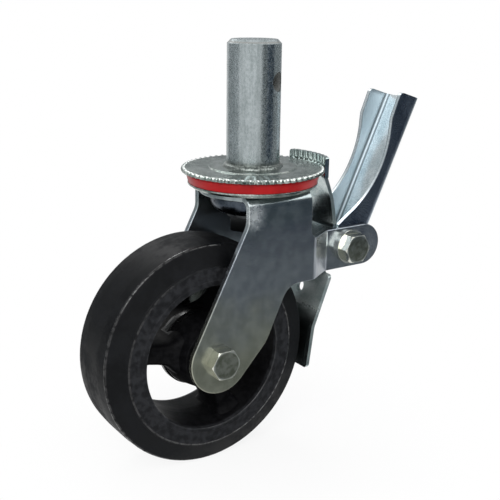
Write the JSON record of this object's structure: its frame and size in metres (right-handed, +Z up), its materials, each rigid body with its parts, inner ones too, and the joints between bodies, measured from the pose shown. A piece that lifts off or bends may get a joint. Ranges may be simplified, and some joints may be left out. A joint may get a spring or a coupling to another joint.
{
  "type": "scaffold castor",
  "caption": "Scaffold castor: solid stem on a toothed swivel plate, pressed fork, rubber-tyred wheel and a foot lever that locks wheel and swivel together.",
  "frame": {"origin": "on the stem's axis at the foot of its straight wall, where a tube's end rests on the weld", "axes": "+Z up the stem, wheel trailing towards -X, wheel axle along Y, brake lever on the +X side"},
  "size_m": [0.2505, 0.0946, 0.2735],
  "materials": {
    "rough_zinc": "galvanised, dull and finely speckled",
    "plate_zinc": "zinc plated, matt with bright rounded edges",
    "fork_zinc": "zinc plated pressed sheet, glossy blue-grey",
    "bright_zinc": "bright zinc plating",
    "ball_steel": "polished and lightly greased",
    "seal_plastic": "glossy red",
    "core_iron": "cast, painted black",
    "tyre_rubber": "moulded black rubber with a soft sheen",
    "lever_zinc": "zinc plated, bluish satin",
    "leaf_zinc": "zinc plated sheet"
  },
  "bodies": {
    "mount": {"stem": "rough_zinc", "kingpin": "bright_zinc", "top_plate": "plate_zinc", "lower_race_cup": "fork_zinc", "kingpin_washer": "bright_zinc", "kingpin_nut": "bright_zinc"},
    "swivel_balls": {"upper_balls": "ball_steel", "lower_balls": "ball_steel"},
    "fork": {"fork": "fork_zinc", "race_dish": "plate_zinc", "dust_seal": "seal_plastic", "axle_bolt": "bright_zinc", "axle_sleeve": "bright_zinc", "thrust_washers": "bright_zinc", "axle_nut": "bright_zinc", "pivot_bolt": "bright_zinc", "pivot_sleeve": "bright_zinc", "pivot_washers": "bright_zinc", "pivot_nut": "bright_zinc"},
    "wheel": {"wheel_core": "core_iron", "tyre": "tyre_rubber"},
    "roller_cage": {"hub_rollers": "ball_steel", "roller_cage": "ball_steel"},
    "brake_lever": {"brake_lever": "lever_zinc"},
    "brake_leaf": {"brake_leaf": "leaf_zinc"}
  },
  "joints": [
    {"name": "swivel", "type": "hinge", "parent": "mount", "child": "fork", "pos_m": [0, 0, 0], "axis": [0, 0, 1], "continuous": true},
    {"name": "ball_orbit", "type": "hinge", "parent": "mount", "child": "swivel_balls", "pos_m": [0, 0, 0], "axis": [0, 0, 1], "continuous": true},
    {"name": "wheel_spin", "type": "hinge", "parent": "fork", "child": "wheel", "pos_m": [-0.0452, 0, -0.1198], "axis": [0, 1, 0], "continuous": true},
    {"name": "cage_orbit", "type": "hinge", "parent": "fork", "child": "roller_cage", "pos_m": [-0.0452, 0, -0.1198], "axis": [0, 1, 0], "continuous": true},
    {"name": "lever_pivot", "type": "hinge", "parent": "fork", "child": "brake_lever", "pos_m": [0.067, 0, -0.0622], "axis": [0, 1, 0], "range_deg": [0, 60]},
    {"name": "leaf_slide", "type": "slide", "parent": "fork", "child": "brake_leaf", "axis": [-1, 0, 0], "range_m": [0, 0.0019]}
  ],
  "couplings": [
    {"joint": "ball_orbit", "follows": "swivel", "ratio": 0.5},
    {"joint": "cage_orbit", "follows": "wheel_spin", "ratio": 0.606},
    {"joint": "leaf_slide", "follows": "lever_pivot", "m_per_rad": 0.0018143}
  ]
}
